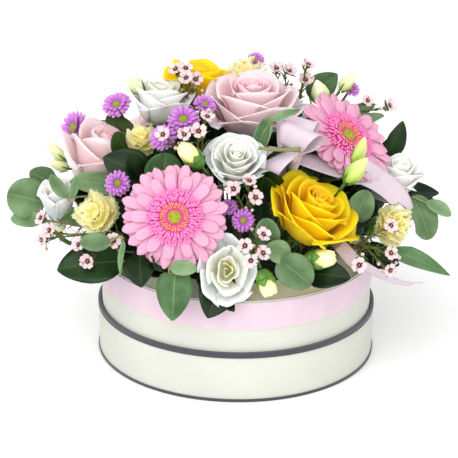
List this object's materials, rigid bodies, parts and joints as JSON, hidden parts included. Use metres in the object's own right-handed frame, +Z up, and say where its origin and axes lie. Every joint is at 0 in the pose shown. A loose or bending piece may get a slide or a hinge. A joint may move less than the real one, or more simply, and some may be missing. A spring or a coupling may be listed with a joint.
{
  "type": "flower hat box",
  "caption": "Round cream hat box standing in its upturned lid, with a pink ribbon band and bow, filled with a low dome of roses, gerberas, carnations, daisies, waxflower and foliage.",
  "frame": {"origin": "middle of the lid's flat underside, where the box stands on its surface", "axes": "+Z up, -Y towards the front of the arrangement, +X to the right seen from the front"},
  "size_m": [0.396, 0.302, 0.2638],
  "materials": {
    "card": "smooth matt cream card",
    "trim": "dark charcoal grosgrain",
    "ribbon": "pale pink satin",
    "liner": "pale lining paper",
    "foam": "dark green floral foam",
    "stem": "fresh green stem",
    "gerbera_petals": "soft pink petal",
    "gerbera_florets": "deep pink disc florets",
    "blush_petals": "pale pink petal",
    "yellow_petals": "bright yellow petal",
    "white_petals": "white petal",
    "cream_petals": "pale lemon frilled petal",
    "purple_petals": "purple daisy petal",
    "green_buds": "light green bud",
    "waxflower": "pale waxy floret",
    "foliage": "green leaf"
  },
  "bodies": {
    "root": {"carnation_bud_middle": "green_buds", "carnation_buds_front": "green_buds", "carnation_left": "cream_petals", "carnation_right": "cream_petals", "carnation_small": "cream_petals", "carnation_top": "cream_petals", "daisies_back": "purple_petals", "daisies_edge": "purple_petals", "daisies_front": "purple_petals", "daisies_left": "purple_petals", "daisies_middle": "purple_petals", "daisies_right": "purple_petals", "foam": "foam", "foliage_back": "foliage", "foliage_back_left": "foliage", "foliage_back_right": "foliage", "foliage_front": "foliage", "foliage_front_left": "foliage", "foliage_front_right": "foliage", "foliage_left": "foliage", "foliage_middle": "foliage", "foliage_right": "foliage", "foliage_top": "foliage", "gerbera_front_florets": "gerbera_florets", "gerbera_front_petals": "gerbera_petals", "gerbera_front_stem": "stem", "gerbera_right_florets": "gerbera_florets", "gerbera_right_petals": "gerbera_petals", "gerbera_right_stem": "stem", "hat_box": "card", "lid": "card", "lid_base_trim": "trim", "lid_rim_trim": "trim", "liner": "liner", "lisianthus_buds_back": "green_buds", "lisianthus_buds_left": "green_buds", "lisianthus_buds_right": "green_buds", "lisianthus_front": "white_petals", "lisianthus_front_stem": "stem", "lisianthus_left": "white_petals", "lisianthus_top_left": "white_petals", "ribbon_band": "ribbon", "ribbon_bow": "ribbon", "ribbon_tail": "ribbon", "rose_pink_back": "blush_petals", "rose_pink_left": "blush_petals", "rose_pink_top": "blush_petals", "rose_pink_top_stem": "stem", "rose_white_back": "white_petals", "rose_white_middle": "white_petals", "rose_white_right": "white_petals", "rose_yellow_back": "yellow_petals", "rose_yellow_front": "yellow_petals", "rose_yellow_front_stem": "stem", "waxflower_back": "waxflower", "waxflower_front": "waxflower", "waxflower_left": "waxflower", "waxflower_middle": "waxflower", "waxflower_right": "waxflower", "waxflower_top": "waxflower"}
  },
  "joints": []
}
